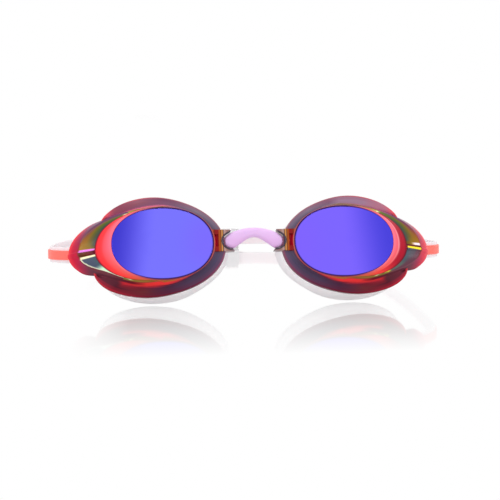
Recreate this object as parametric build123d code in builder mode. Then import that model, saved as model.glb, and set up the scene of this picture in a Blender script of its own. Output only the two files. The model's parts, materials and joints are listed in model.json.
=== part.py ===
from build123d import *
import os
from math import cos, hypot, pi, radians, sin

# Racing swim goggles, standing on the lower lips of their seals and on the rear clip of the head strap.
# +Z is up, +X points to the wearer's left, -Y looks out through the lenses. Units are millimetres.
# "Depth" runs from the windows back towards the face, and "temple" is away from the nose.

os.makedirs("parts", exist_ok=True)

# ---------------------------------------------------------------- driving dimensions
lean = 20.0  # the goggles lean back by this angle
eye_x = 38.15  # nose centre to window centre
window_y, window_height = -88.28, 27.16  # window centres: the origin is under the middle of the whole part

window_a, window_b, window_power = 21.05, 14.95, 2.15  # half width, half height, squareness
window_thickness, window_bevel = 1.5, 0.2
window_rim = 0.55  # frame wall round the window
window_ledge = 1.0  # the frame's seat behind the window's edge
glue_gap = 0.05
frame_wall = 1.6

brim_wrap = 7.0  # the brim turns back towards the temple by this angle
brim_front, brim_back = 4.3, 6.8  # depths under the window centre
brim_round = 0.9
tower_sink = 0.4  # the wall round the window runs into the brim by this much
brim_outline = [
    (2.9, 20.9), (13.2, 20), (22.9, 15.4), (28.8, 7.2), (30.3, -2.2), (28.2, -13.8), (18.9, -19.8),
    (6.1, -21.8), (-6.1, -20), (-17.6, -15), (-24.5, -7.3), (-25.7, 1), (-20.6, 10.6), (-10.6, 17.3),
]
tower_outline = [
    (2, 17.3), (12, 15.7), (20, 11.6), (25.4, 5.6), (27.2, -1.6), (25, -8.8), (17.2, -14.4),
    (6, -17.2), (-6, -15.9), (-15, -11), (-21, -5.2), (-22.3, 0.6), (-18.4, 8.6), (-10, 14.4),
]

wing_wrap = 12.6
wing_depths = (-0.9, 0.63, 5.5)  # inner edge, ridge and back edge, under the window centre
wing_inner = [
    (2, 15.2), (10, 14.6), (16.4, 12.5), (21.4, 10), (25.6, 6.5), (28.2, 1.4), (28.2, -4),
    (25.2, -8.5), (18.9, -12.7), (11, -15), (2, -15.5),
]
wing_ridge = [
    (2, 15.9), (11.5, 15.2), (19.8, 13.4), (28, 9.9), (33, 5.9), (35.7, 0.8), (35.5, -4.2),
    (31.9, -8), (23.2, -12.1), (12, -15.5), (2, -16.1),
]
wing_back = [
    (2, 17.8), (14, 17.2), (24, 14.3), (31.9, 11.1), (38.2, 6.6), (41.7, 0.2), (41, -5.3),
    (36, -10.3), (27.8, -14.2), (14, -17.6), (2, -18),
]
wing_wall = 1.5
wing_tip = slice(3, 8)  # the points of the outlines that the hollow behind the tip follows
hollow_inset = 0.5
band_middle, band_height, band_rise = -2.3, 1.9, 0.35  # raised band across the wing
band_start, band_length = 27.5, 25.0
eye_room_front, eye_room_sink, eye_room_depth = -3.0, 0.6, 6.0  # what is cut out behind the window
seat_spread, seat_depth = 0.2, 8.0  # room for the seal behind the brim

bridge_thickness, bridge_bow = 3.3, 1.6  # the middle of the bridge stands forward by the bow
pivot_x, pivot_depth = 11.3, 2.55
pivot_radius, pivot_clearance = 0.6, 0.06
pin_low, pin_high = -3.0, 5.0  # ends of the snap pins, above the window centres
socket_gap = 0.45  # round the bridge's ends
tab_thickness = 4.1
tab_outline = [(20, 5.8), (9.6, 5.6), (9.8, 3), (8.2, -3.4), (20, -3.8)]
tab_round_x, tab_reach = 10.3, 14.0  # the middle of the rounded end, and the length from there
tab_slot_x, tab_slot_up, tab_slot_width, tab_slot_height = 15.7, 1.0, 1.5, 5.0
blank_front, blank_depth, blank_height = -4.0, 12.0, 20.0  # longer than the bridge and its sockets
bridge_outline = [  # the wearer's left half, from the middle of the top edge
    (0, 6.25), (5.8, 5.6), (10, 4.25), (12.2, 2.6), (12.85, 0.9), (12.2, -0.95), (10.6, -2.15),
    (8.6, -2.3), (6.5, -0.9), (3.4, 1.15), (0, 2.3),
]
socket_outline = [(6, 6.2), (10.2, 4.8), (12.6, 3), (13.35, 0.9), (12.7, -1.3), (10.8, -2.6), (6, -2.8)]

seal_lip = [
    (4, 22.4), (15, 19.9), (24.5, 14.2), (28.8, 6.5), (29.9, -2), (27.8, -13), (19, -20.4),
    (6, -23.4), (-7, -21.8), (-17.2, -16.5), (-25.6, -8.1), (-27.3, 0.4), (-21.2, 10.4), (-11, 18.5),
]
seal_wrap = 5.0
seal_lip_depth, seal_waist_depth = 14.6, 9.6
seal_inset, seal_waist_inset = 0.9, 2.2  # from the brim's edge
seal_skin = 1.5

strap_drop = 5.1  # the strap falls towards the back by this angle
post_x, post_depth, post_height = 71.1, 15.3, -1.6
post_radius, post_clearance = 0.8, 0.1
lug_gap, lug_thickness, lug_radius = 0.35, 1.4, 1.9
lug_root = [(1.9, 0), (1.9, -1.8), (-0.4, -5.4), (-2.9, -5.4), (-2.9, -3), (-1.9, 0)]  # from the post
lug_room = 20.0
loop_depth = 165.0  # posts to the middle of the rear clip
strap_width, strap_thickness = 6.8, 1.1
stripe_width, stripe_thickness = 4.4, 0.8
eyelet_wall = 1.3
stripe_start = 4.5  # from the post
strap_side = 86.4  # the straps bulge out to here, from the nose centre
strap_leave, strap_turn, side_turn = (1.2, 0.7), (7.6, 4.4), 7.5  # the band's way from the post to the side
side_front, side_back, corner_x = 20.0, 110.0, 62.0  # where the bulge ends and the round to the back starts
strap_gap = 0.6  # between the two straps where they overlap in the clip
straight_x, tail_x = 18.0, 13.0  # each strap is straight from here, and ends past the middle

clip_length, clip_wall = 20.0, 1.15
clip_clearance, clip_headroom = 0.7, 1.0  # across the straps' thickness and above and below them
clip_round = 1.4
clip_window_x, clip_window, clip_window_round = 4.4, (5.6, 5.4), 0.8


# ---------------------------------------------------------------- planes and outlines
def leaned(angle, origin):
    """A plane whose x runs to the wearer's left, y backwards and down by angle, and z up."""
    a = radians(angle)
    return Plane(origin=origin, x_dir=(1, 0, 0), z_dir=(0, sin(a), cos(a)))


goggles = leaned(lean, (0, window_y, window_height))
strap = leaned(strap_drop, goggles.from_local_coords((0, post_depth, post_height)))


def facing(x, depth, wrap=0.0):
    """A plane that looks out to the front, x to the temple and y up, turned back by wrap."""
    w = radians(wrap)
    across = goggles.from_local_coords(Vector(cos(w), sin(w), 0)) - goggles.origin
    outward = goggles.from_local_coords(Vector(sin(w), -cos(w), 0)) - goggles.origin
    under_window = goggles.from_local_coords(Vector(x, 0, 0))
    return Plane(origin=under_window - outward * depth, x_dir=across, z_dir=outward)


def cup(depth, wrap=0.0):
    """The facing plane at a depth under the left window's centre."""
    return facing(eye_x, depth, wrap)


def grown(points, amount):
    """The outline with each point moved away from the window centre."""
    return [(x + amount * x / hypot(x, y), y + amount * y / hypot(x, y)) for x, y in points]


def window_outline(grow=0.0, count=16):
    """A superellipse, from its top round by the temple."""
    points = []
    for i in range(count):
        across = sin(2 * pi * i / count)
        up = cos(2 * pi * i / count)
        x = (window_a + grow) * abs(across) ** (2 / window_power)
        y = (window_b + grow) * abs(up) ** (2 / window_power)
        points.append((x if across > 0 else -x, y if up > 0 else -y))
    return points


def closed_face(points):
    with BuildLine() as outline:
        Spline(*points, periodic=True)
    make_face(outline.edges())


def wing_face(points):
    """A wing outline, closed by a straight line on the side of the window."""
    with BuildLine() as outline:
        outer = Spline(*points)
        Line(outer @ 1, outer @ 0)
    make_face(outline.edges())


def save(part, name):
    part.label = name
    export_step(part, f"parts/{name}.step")


def save_pair(part, name):
    """The wearer's left piece, and its mirror image for the right."""
    save(part, f"left_{name}")
    with BuildPart() as right:
        mirror(part, about=Plane.YZ)
    save(right.part, f"right_{name}")


# ---------------------------------------------------------------- lens: the mirrored window
with BuildPart() as lens:
    with BuildSketch(cup(0)):
        closed_face(window_outline())
    extrude(amount=-window_thickness)
    chamfer(lens.edges().sort_by(Axis(goggles.origin, -goggles.y_dir))[-1], window_bevel)
save_pair(lens.part, "lens")


# ---------------------------------------------------------------- nose bridge
with BuildPart() as nose_bridge:
    with BuildSketch(facing(0, blank_front)):
        with BuildLine() as outline:
            half = Spline(*bridge_outline, tangents=[(1, 0), (-1, 0)])
            Line(half @ 1, half @ 0)
        make_face(outline.edges())
        mirror(about=Plane.YZ)
    extrude(amount=-blank_depth)
    with BuildSketch(goggles.offset(-blank_height / 2)):
        with BuildLine(mode=Mode.PRIVATE) as bow:
            ThreePointArc((-pivot_x, pivot_depth), (0, pivot_depth - bridge_bow), (pivot_x, pivot_depth))
        SlotArc(bow.wires()[0], bridge_thickness)
    extrude(amount=blank_height, mode=Mode.INTERSECT)
    with BuildSketch(goggles.offset(pin_low)):
        with Locations((pivot_x, pivot_depth), (-pivot_x, pivot_depth)):
            Circle(pivot_radius)
    extrude(amount=pin_high - pin_low)
save(nose_bridge.part, "nose_bridge")

with BuildPart() as socket:
    # the room that the bridge's end and its pins need in the nose tab
    with BuildSketch(facing(0, blank_front)):
        with BuildLine() as outline:
            end = Spline(*socket_outline)
            Line(end @ 1, end @ 0)
        make_face(outline.edges())
    extrude(amount=-blank_depth)
    with BuildSketch(goggles.offset(-blank_height / 2)):
        with Locations((pivot_x, pivot_depth)):
            Circle(bridge_thickness / 2 + socket_gap)
            Rectangle(blank_depth, blank_depth, align=(Align.MAX, Align.CENTER))
    extrude(amount=blank_height, mode=Mode.INTERSECT)
    with BuildSketch(goggles.offset(pin_low - pivot_clearance)):
        with Locations((pivot_x, pivot_depth)):
            Circle(pivot_radius + pivot_clearance)
    extrude(amount=pin_high - pin_low + 2 * pivot_clearance)


# ---------------------------------------------------------------- eye frame
def wing(grow):
    """The solid wing, from the inner edge over the ridge to the back edge."""
    with BuildPart() as body:
        for depth, points in zip(wing_depths, (wing_inner, wing_ridge, wing_back)):
            with BuildSketch(cup(depth - grow, wing_wrap)):
                wing_face(grown(points, grow))
        loft(ruled=True)
    return body.part


with BuildPart() as wing_band:
    add(wing(band_rise))
    with BuildSketch(cup(-band_length)):
        with Locations((band_start, band_middle)):
            Rectangle(band_length, band_height, align=(Align.MIN, Align.CENTER))
    extrude(amount=-2 * band_length, mode=Mode.INTERSECT)

with BuildPart() as brim:
    with BuildSketch(cup(brim_front, brim_wrap)):
        closed_face(brim_outline)
    extrude(amount=brim_front - brim_back)
    fillet(brim.edges().filter_by(GeomType.BSPLINE), brim_round)

with BuildPart() as ears:
    # two ears hold the strap's post, from the wing's wall back round the post
    with BuildSketch(strap):
        with Locations((post_x, 0)):
            Circle(lug_radius)
            Polygon(*lug_root, align=None)
    extrude(amount=strap_width / 2 + lug_gap + lug_thickness, both=True)
    with BuildSketch(strap):
        with Locations((post_x, 0)):
            Rectangle(lug_room, lug_room)
    extrude(amount=strap_width / 2 + lug_gap, both=True, mode=Mode.SUBTRACT)
    with BuildSketch(strap):
        with Locations((post_x, 0)):
            Circle(post_radius)
    extrude(amount=strap_width / 2 + lug_gap, both=True)

with BuildPart() as nose_tab:
    with BuildSketch(facing(0, pivot_depth - tab_thickness / 2)):
        Polygon(*tab_outline, align=None)
        with Locations((tab_slot_x, tab_slot_up)):
            Rectangle(tab_slot_width, tab_slot_height, mode=Mode.SUBTRACT)
    extrude(amount=-tab_thickness)
    with BuildSketch(goggles.offset(-blank_height / 2)):
        with Locations((tab_round_x, pivot_depth)):
            Circle(tab_thickness / 2)
            Rectangle(tab_reach, tab_thickness, align=(Align.MIN, Align.CENTER))
    extrude(amount=blank_height, mode=Mode.INTERSECT)

with BuildPart() as cavity:
    # the window's seat, then the room for the eye
    with BuildSketch(cup(eye_room_front)):
        closed_face(window_outline(glue_gap))
    extrude(amount=eye_room_front - window_thickness - glue_gap)
    with BuildSketch(cup(window_thickness)):
        closed_face(window_outline(-window_ledge))
    with BuildSketch(cup(brim_front + eye_room_sink, brim_wrap)):
        closed_face(grown(tower_outline, -frame_wall))
    loft()
    with BuildSketch(cup(brim_front + eye_room_sink, brim_wrap)):
        closed_face(grown(tower_outline, -frame_wall))
    extrude(amount=-eye_room_depth)

with BuildPart() as wing_hollow:
    with BuildSketch(cup(wing_depths[1] + wing_wall, wing_wrap)):
        wing_face(grown(wing_ridge[wing_tip], -hollow_inset))
    with BuildSketch(cup(wing_depths[2] + wing_wall, wing_wrap)):
        wing_face(grown(wing_back[wing_tip], -hollow_inset))
    loft(ruled=True)

with BuildPart() as seal_seat:
    # what is cut away to leave the wing flush with the back of the brim
    with BuildSketch(cup(brim_back, brim_wrap)):
        closed_face(grown(brim_outline, seat_spread))
    extrude(amount=-seat_depth)

with BuildPart() as eye_frame:
    with BuildSketch(cup(0)):
        closed_face(window_outline(window_rim))
    with BuildSketch(cup(brim_front + tower_sink, brim_wrap)):
        closed_face(tower_outline)
    loft()
    add(brim.part)
    add(wing(0))
    add(wing_band.part)
    add(wing_hollow.part, mode=Mode.SUBTRACT)
    add(ears.part)
    add(nose_tab.part)
    add(socket.part, mode=Mode.SUBTRACT)
    add(seal_seat.part, mode=Mode.SUBTRACT)
    add(cavity.part, mode=Mode.SUBTRACT)
save_pair(eye_frame.part, "eye_frame")


# ---------------------------------------------------------------- face seal
def seal_body(grow):
    with BuildPart() as body:
        with BuildSketch(cup(brim_back + glue_gap, brim_wrap)):
            closed_face(grown(brim_outline, grow - seal_inset))
        with BuildSketch(cup(seal_waist_depth, (brim_wrap + seal_wrap) / 2)):
            closed_face(grown(brim_outline, grow - seal_waist_inset))
        with BuildSketch(cup(seal_lip_depth, seal_wrap)):
            closed_face(grown(seal_lip, grow))
        loft()
    return body.part


with BuildPart() as seal:
    add(seal_body(0))
    add(seal_body(-seal_skin), mode=Mode.SUBTRACT)
save_pair(seal.part, "seal")


# ---------------------------------------------------------------- head strap
strap_stack = 2 * (strap_thickness + stripe_thickness) + strap_gap
inner_y = loop_depth - (strap_stack - strap_thickness) / 2
outer_y = inner_y + strap_thickness + stripe_thickness + strap_gap


def strap_line(rear_y):
    """The middle of a band, seen from above, from its post to its end past the middle."""
    with BuildLine() as line:
        side = (strap_side, side_front)
        leave = (post_x + strap_leave[0], strap_leave[1])
        turn = (post_x + strap_turn[0], strap_turn[1])
        Bezier(leave, turn, (strap_side, side_turn), side)
        Bezier(side, (strap_side, 3 * side_front), (strap_side, side_back), (corner_x, rear_y),
               (straight_x, rear_y))
        Line((straight_x, rear_y), (-tail_x, rear_y))
    return line.edges()


def strap_band(rear_y):
    with BuildPart() as band:
        with BuildSketch(strap):
            trace(strap_line(rear_y), strap_thickness)
            with Locations((post_x, 0)):
                Circle(post_radius + post_clearance + eyelet_wall)
                Circle(post_radius + post_clearance, mode=Mode.SUBTRACT)
        extrude(amount=strap_width / 2, both=True)
    return band.part


def strap_stripe(rear_y):
    """The raised stripe on the outer face of a band."""
    with BuildPart() as stripe:
        with BuildSketch(strap, mode=Mode.PRIVATE) as both_faces:
            trace(strap_line(rear_y), strap_thickness + 2 * stripe_thickness)
            trace(strap_line(rear_y), strap_thickness, mode=Mode.SUBTRACT)
            with Locations((post_x, 0)):
                Circle(stripe_start, mode=Mode.SUBTRACT)
        outer_face = both_faces.sketch.faces().sort_by(SortBy.AREA)[-1]
        extrude(outer_face, amount=stripe_width / 2, both=True)
    return stripe.part


save(strap_band(inner_y), "left_strap")
save(strap_stripe(inner_y), "left_stripe")
save(mirror(strap_band(outer_y), about=Plane.YZ), "right_strap")
save(mirror(strap_stripe(outer_y), about=Plane.YZ), "right_stripe")


# ---------------------------------------------------------------- rear clip
inside_y = strap_stack + 2 * clip_clearance
inside_z = strap_width + 2 * clip_headroom
clip_end = Plane(origin=strap.from_local_coords((0, loop_depth, 0)), x_dir=strap.y_dir, z_dir=(1, 0, 0))
clip_back = Plane(origin=clip_end.origin, x_dir=(-1, 0, 0), z_dir=strap.y_dir)

with BuildPart() as rear_clip:
    with BuildSketch(clip_end):
        RectangleRounded(inside_y + 2 * clip_wall, inside_z + 2 * clip_wall, clip_round)
        Rectangle(inside_y, inside_z, mode=Mode.SUBTRACT)
    extrude(amount=clip_length / 2, both=True)
    with BuildSketch(clip_back):
        with Locations((clip_window_x, 0), (-clip_window_x, 0)):
            RectangleRounded(*clip_window, clip_window_round)
    extrude(amount=inside_y, mode=Mode.SUBTRACT)
save(rear_clip.part, "rear_clip")
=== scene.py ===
"""Swim goggles: mirrored lenses, coral frames, clear seals, lavender nose bridge and head strap."""
import json
import math

import bmesh
import bpy
import numpy as np
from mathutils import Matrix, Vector


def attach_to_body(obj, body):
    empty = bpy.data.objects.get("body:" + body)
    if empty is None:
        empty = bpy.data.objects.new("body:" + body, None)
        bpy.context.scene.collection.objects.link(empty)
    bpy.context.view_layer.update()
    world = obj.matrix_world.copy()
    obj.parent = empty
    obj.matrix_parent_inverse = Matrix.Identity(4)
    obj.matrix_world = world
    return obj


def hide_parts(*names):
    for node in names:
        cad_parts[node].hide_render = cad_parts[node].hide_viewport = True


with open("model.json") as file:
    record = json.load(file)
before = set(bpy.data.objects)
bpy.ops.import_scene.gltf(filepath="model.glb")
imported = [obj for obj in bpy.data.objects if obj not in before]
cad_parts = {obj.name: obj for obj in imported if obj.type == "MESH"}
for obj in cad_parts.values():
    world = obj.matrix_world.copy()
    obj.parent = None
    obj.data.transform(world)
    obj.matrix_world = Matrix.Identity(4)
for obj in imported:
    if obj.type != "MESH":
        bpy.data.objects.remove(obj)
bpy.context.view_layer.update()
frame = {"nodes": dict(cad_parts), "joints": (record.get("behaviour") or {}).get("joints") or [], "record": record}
scene = bpy.context.scene

MM = 0.001
SIDES = {"left": 1, "right": -1}  # the wearer's sides
TURN = 2 * math.pi


# ---- places from the frame
def mount(name):
    return next(m for m in frame["record"]["mounts"] if m["name"] == name)


def joint(name):
    return next(j for j in frame["joints"] if j["name"] == name)


window = np.array(mount("left_window")["pos_m"]) / MM
forward = np.array(mount("left_window")["axis"])
across = np.array([1.0, 0, 0])
upward = np.cross(forward, across)
eye_x = window[0]
post = np.array(joint("left_strap_swing")["pos_m"]) / MM
post_axis = np.array(joint("left_strap_swing")["axis"])
post_middle = post * np.array([0, 1, 1])
strap_back = np.cross(post_axis, across)


def cup_point(t, v, depth, wrap=0.0):
    """Points of the left cup, from the window's centre: t to the temple, v up, depth to the face."""
    w = math.radians(wrap)
    x = t * math.cos(w) - depth * math.sin(w)
    y = t * math.sin(w) + depth * math.cos(w)
    x, v, y = np.broadcast_arrays(x, v, y)
    return window + x[..., None] * across + v[..., None] * upward - y[..., None] * forward


def nose_point(x, v, depth):
    """Points from the middle of the nose bridge, level with the windows' centres."""
    return cup_point(np.asarray(x, float) - eye_x, v, depth)


def strap_point(x, y, z):
    """Points in the straps' own plane: x sideways, y to the back and z along the post."""
    x, y, z = np.broadcast_arrays(x, y, z)
    return post_middle + x[..., None] * across + y[..., None] * strap_back + z[..., None] * post_axis


# ---- outlines
POINTS_ROUND = 384
BAND_TURN = math.radians(94)  # the raised band crosses the wing here


def spaced_turns():
    """Angles from the top, round by the temple, spaced more closely near the raised band."""
    even = np.linspace(0, TURN, 4001)
    density = 1 + 4 * np.exp(-((even - BAND_TURN) / math.radians(6)) ** 2)
    total = np.concatenate([[0], np.cumsum((density[1:] + density[:-1]) / 2)])
    return np.interp(np.arange(POINTS_ROUND) / POINTS_ROUND * total[-1], total, even)


phi = spaced_turns()
WINDOW_A, WINDOW_B, WINDOW_POWER = 21.05, 14.95, 2.15

# outlines seen along the window's axis: millimetres to the temple and up from the window's centre
BRIM = [
    (2.9, 20.9), (13.2, 20), (22.9, 15.4), (28.8, 7.2), (30.3, -2.2), (28.2, -13.8), (18.9, -19.8),
    (6.1, -21.8), (-6.1, -20), (-17.6, -15), (-24.5, -7.3), (-25.7, 1), (-20.6, 10.6), (-10.6, 17.3),
]
TOWER = [
    (2, 17.3), (12, 15.7), (20, 11.6), (25.4, 5.6), (27.2, -1.6), (25, -8.8), (17.2, -14.4),
    (6, -17.2), (-6, -15.9), (-15, -11), (-21, -5.2), (-22.3, 0.6), (-18.4, 8.6), (-10, 14.4),
]
WING_INNER = [
    (2, 15.2), (10, 14.6), (16.4, 12.5), (21.4, 10), (25.6, 6.5), (28.2, 1.4), (28.2, -4),
    (25.2, -8.5), (18.9, -12.7), (11, -15), (2, -15.5),
]
WING_RIDGE = [
    (2, 15.9), (11.5, 15.2), (19.8, 13.4), (28, 9.9), (33, 5.9), (35.7, 0.8), (35.5, -4.2),
    (31.9, -8), (23.2, -12.1), (12, -15.5), (2, -16.1),
]
WING_BACK = [
    (2, 17.8), (14, 17.2), (24, 14.3), (31.9, 11.1), (38.2, 6.6), (41.7, 0.2), (40.9, -5.2),
    (35.7, -10), (28, -14.1), (14, -17.6), (2, -18),
]
SEAL_LIP = [
    (4, 22.4), (15, 19.9), (24.5, 14.2), (28.8, 6.5), (29.9, -2), (27.8, -13), (19, -20.4),
    (6, -23.4), (-7, -21.8), (-17.2, -16.5), (-25.6, -8.1), (-27.3, 0.4), (-21.2, 10.4), (-11, 18.5),
]


def window_radius(grow=0.0, turn=phi):
    x = np.abs(np.sin(turn)) / (WINDOW_A + grow)
    y = np.abs(np.cos(turn)) / (WINDOW_B + grow)
    return (x ** WINDOW_POWER + y ** WINDOW_POWER) ** (-1 / WINDOW_POWER)


def radius(points):
    """The outline's distance from the window's centre at each phi: a smooth closed cubic spline."""
    known = sorted((math.atan2(x, y) % TURN, math.hypot(x, y)) for x, y in points)
    a = np.array([k[0] for k in known])
    r = np.array([k[1] for k in known])
    n = len(a)
    h = np.diff(np.append(a, a[0] + TURN))
    slope = (np.roll(r, -1) - r) / h
    system = np.zeros((n, n))
    for i in range(n):
        system[i, i - 1] += h[i - 1]
        system[i, i] += 2 * (h[i - 1] + h[i])
        system[i, (i + 1) % n] += h[i]
    bend = np.linalg.solve(system, 6 * (slope - np.roll(slope, 1)))
    q = (phi - a[0]) % TURN + a[0]
    i = np.clip(np.searchsorted(a, q, side="right") - 1, 0, n - 1)
    j = (i + 1) % n
    u = q - a[i]
    w = h[i] - u
    return (bend[i] * w ** 3 + bend[j] * u ** 3) / (6 * h[i]) + (
        (r[i] / h[i] - bend[i] * h[i] / 6) * w + (r[j] / h[i] - bend[j] * h[i] / 6) * u)


NOSE_TURNS = TURN * np.array([0.56, 0.62, 0.69, 0.75, 0.81, 0.88, 0.94])


def wing_radius(points, nose_grow):
    """A wing outline, closed round the nose side just outside the window's rim."""
    rim = window_radius(nose_grow, NOSE_TURNS)
    return radius(points + list(zip(rim * np.sin(NOSE_TURNS), rim * np.cos(NOSE_TURNS))))


def cup_ring(r, depth, wrap=0.0):
    return cup_point(r * np.sin(phi), r * np.cos(phi), depth, wrap)


def between(a, b, share):
    share = np.asarray(share)
    return a + (b - a) * (share[..., None] if share.ndim else share)


def smooth(low, high, x):
    """0 below low, 1 above high, and an S-shaped rise from one to the other."""
    s = np.clip((x - low) / (high - low), 0, 1)
    return s * s * (3 - 2 * s)


# ---- meshes
LONGEST_ROUNDING = 0.42  # the share of an edge that the rounding of its corner may take


def rounded(corners, roundings, rows_between, steps=4):
    """Rows of points that follow a closed profile through its corners, each rounded off.

    corners is (corner, point round the cup, xyz). The second result is each row's place on the
    profile: the number of the corner and the share of the way to the next one."""
    rows, places = [], []
    count = len(corners)
    for k in range(count):
        here, last, after = corners[k], corners[k - 1], corners[(k + 1) % count]
        before_len = np.linalg.norm(last - here, axis=-1, keepdims=True) + 1e-9
        after_len = np.linalg.norm(after - here, axis=-1, keepdims=True) + 1e-9
        reach = np.minimum(roundings[k], LONGEST_ROUNDING * np.minimum(before_len, after_len))
        start = here + (last - here) * reach / before_len
        end = here + (after - here) * reach / after_len
        for s in np.linspace(0, 1, steps + 1):
            rows.append((1 - s) ** 2 * start + 2 * s * (1 - s) * here + s * s * end)
            places.append(k + (s - 0.5) * 0.1)
        next_reach = np.minimum(roundings[(k + 1) % count], LONGEST_ROUNDING * after_len)
        next_start = after + (here - after) * next_reach / after_len
        for s in np.arange(1, rows_between[k]) / rows_between[k]:
            rows.append(end + (next_start - end) * s)
            places.append(k + 0.05 + 0.9 * s)
    return np.array(rows), np.array(places)


def mesh_object(name, vertices, faces, side=1):
    """A smooth-shaded object from points in millimetres. Side -1 mirrors it to the wearer's right."""
    points = np.asarray(vertices, float).reshape(-1, 3) * MM
    points[:, 0] *= side
    mesh = bpy.data.meshes.new(name)
    mesh.from_pydata(points.tolist(), [], [f if side > 0 else f[::-1] for f in faces])
    mesh.polygons.foreach_set("use_smooth", [True] * len(mesh.polygons))
    mesh.update()
    made = bpy.data.objects.new(name, mesh)
    scene.collection.objects.link(made)
    return made


def grid_faces(rows, columns, closed_rows=True):
    """Faces between rows of points, each row a closed ring."""
    faces = []
    for r in range(rows if closed_rows else rows - 1):
        for c in range(columns):
            r2, c2 = (r + 1) % rows, (c + 1) % columns
            faces.append((r * columns + c, r * columns + c2, r2 * columns + c2, r2 * columns + c))
    return faces


def tube_faces(rows, around):
    """The faces of a tube of rows of points, closed at both ends."""
    last = (rows - 1) * around
    return grid_faces(rows, around, closed_rows=False) + [
        tuple(range(around)), tuple(last + i for i in range(around))]


def linear(colours):
    """Linear colours from sRGB 0 to 255."""
    c = np.asarray(colours, float) / 255
    return np.where(c <= 0.04045, c / 12.92, ((c + 0.055) / 1.055) ** 2.4)


def set_paint(made, colours):
    """Stores a colour for each point, from sRGB 0 to 255."""
    c = linear(colours).reshape(-1, 3)
    layer = made.data.color_attributes.new("paint", "FLOAT_COLOR", "POINT")
    layer.data.foreach_set("color", np.c_[c, np.ones(len(c))].astype(np.float32).ravel())


def finished(made, material, colour=None, sharp_from=None):
    """Turns a piece's faces outwards and gives it an even paint, sharp edges and its material."""
    shape = bmesh.new()
    shape.from_mesh(made.data)
    bmesh.ops.recalc_face_normals(shape, faces=shape.faces)
    shape.to_mesh(made.data)
    shape.free()
    if sharp_from:
        made.data.set_sharp_from_angle(angle=math.radians(sharp_from))
    if colour:
        set_paint(made, [colour] * len(made.data.vertices))
    made.data.materials.append(material)
    return made


def painted(table, places, turns):
    """Colours from a table {place on the profile: {degrees round the cup: colour}}."""
    keys = sorted(table)
    ring = []
    for key in keys:
        stops = sorted(table[key].items())
        at = np.radians([s[0] for s in stops])
        values = np.array([s[1] for s in stops], float)
        at = np.concatenate([[at[-1] - TURN], at, [at[0] + TURN]])
        values = np.concatenate([values[-1:], values, values[:1]])
        ring.append(np.stack([np.interp(turns, at, values[:, c]) for c in range(3)], -1))
    ring = np.array(ring)
    out = np.empty((len(places), len(turns), 3))
    for i, place in enumerate(places):
        k = np.clip(np.searchsorted(keys, place) - 1, 0, len(keys) - 2)
        s = np.clip((place - keys[k]) / (keys[k + 1] - keys[k]), 0, 1)
        out[i] = ring[k] * (1 - s) + ring[k + 1] * s
    return out


# ---- materials
def map_range(nodes, before, after):
    """A node that maps one range of values to another."""
    made = nodes.new("ShaderNodeMapRange")
    for socket, value in zip(("From Min", "From Max", "To Min", "To Max"), (*before, *after)):
        made.inputs[socket].default_value = value
    return made


def connect(material, *wires):
    """Links nodes. A wire is (from, output, to, input)."""
    for start, output, end, socket in wires:
        material.node_tree.links.new(start.outputs[output], end.inputs[socket])


def math_node(nodes, operation):
    made = nodes.new("ShaderNodeMath")
    made.operation = operation
    return made


GRAIN_SCALE = 900.0


def new_material(name, rough, metallic=0.0, coat=0.0, grain=0.0):
    """A Principled material coloured by the mesh's paint, with a fine procedural grain in its gloss."""
    material = bpy.data.materials.new(name)
    material.use_nodes = True
    nodes = material.node_tree.nodes
    shader = nodes["Principled BSDF"]
    paint = nodes.new("ShaderNodeAttribute")
    paint.attribute_name = "paint"
    connect(material, (paint, "Color", shader, "Base Color"))
    shader.inputs["Metallic"].default_value = metallic
    shader.inputs["Coat Weight"].default_value = coat
    coordinates = nodes.new("ShaderNodeTexCoord")
    noise = nodes.new("ShaderNodeTexNoise")
    noise.inputs["Scale"].default_value = GRAIN_SCALE
    spread = map_range(nodes, (0, 1), (rough * 0.8, rough * 1.2))
    connect(material, (coordinates, "Object", noise, "Vector"), (noise, "Fac", spread, "Value"),
            (spread, "Result", shader, "Roughness"))
    if grain:
        bump = nodes.new("ShaderNodeBump")
        bump.inputs["Strength"].default_value = grain
        bump.inputs["Distance"].default_value = 0.0001
        connect(material, (noise, "Fac", bump, "Height"), (bump, "Normal", shader, "Normal"))
    return material


def shader_of(material):
    return material.node_tree.nodes["Principled BSDF"]


def plain_colour(material, colour):
    """Sets a colour instead of the mesh's paint."""
    shader = shader_of(material)
    for link in list(shader.inputs["Base Color"].links):
        material.node_tree.links.remove(link)
    shader.inputs["Base Color"].default_value = (*linear(colour), 1.0)
    return material


def frame_material():
    material = new_material("coral_polycarbonate", 0.24, metallic=0.04, coat=0.03)
    shader_of(material).inputs["Specular IOR Level"].default_value = 0.06
    return material


def lens_material():
    return new_material("violet_mirror", 0.12, metallic=0.7)


def silicone_material(name, clear, rough=0.35):
    material = new_material(name, rough, grain=0.15)
    shader = shader_of(material)
    shader.inputs["Transmission Weight"].default_value = clear
    shader.inputs["IOR"].default_value = 1.41
    shader.inputs["Subsurface Weight"].default_value = 0.25
    shader.inputs["Subsurface Radius"].default_value = (0.004, 0.003, 0.003)
    shader.inputs["Subsurface Scale"].default_value = 0.5
    return material


# ---- camera
CAMERA_AZIMUTH, CAMERA_ELEVATION = math.radians(-6.0), math.radians(8.0)
CAMERA_DISTANCE, CAMERA_LENS = 0.45, 76.4
CAMERA_TARGET = Vector((-0.0011, -0.0815, 0.0228))


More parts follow.
